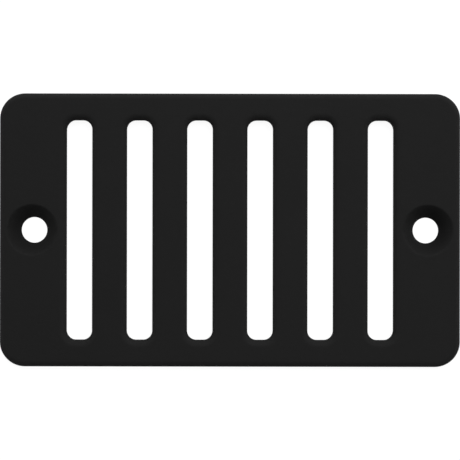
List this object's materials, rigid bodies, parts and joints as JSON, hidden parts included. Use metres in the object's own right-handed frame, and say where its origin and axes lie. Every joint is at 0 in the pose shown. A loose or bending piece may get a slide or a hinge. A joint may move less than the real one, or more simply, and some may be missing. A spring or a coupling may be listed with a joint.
{
  "type": "drain grate",
  "caption": "Flat rectangular drain grate with softly rounded edges, a row of parallel slots and a countersunk screw hole at each end; lets water through and holds debris back.",
  "frame": {"origin": "centre of the flat back face, which lies on Z = 0", "axes": "+X along the plate's length from one screw hole to the other, +Y along the slots, +Z out of the rounded front face"},
  "size_m": [0.1016, 0.0604, 0.0035],
  "materials": {
    "powder_coat": "matte"
  },
  "bodies": {
    "root": {"drain_grate": "powder_coat"}
  },
  "joints": []
}
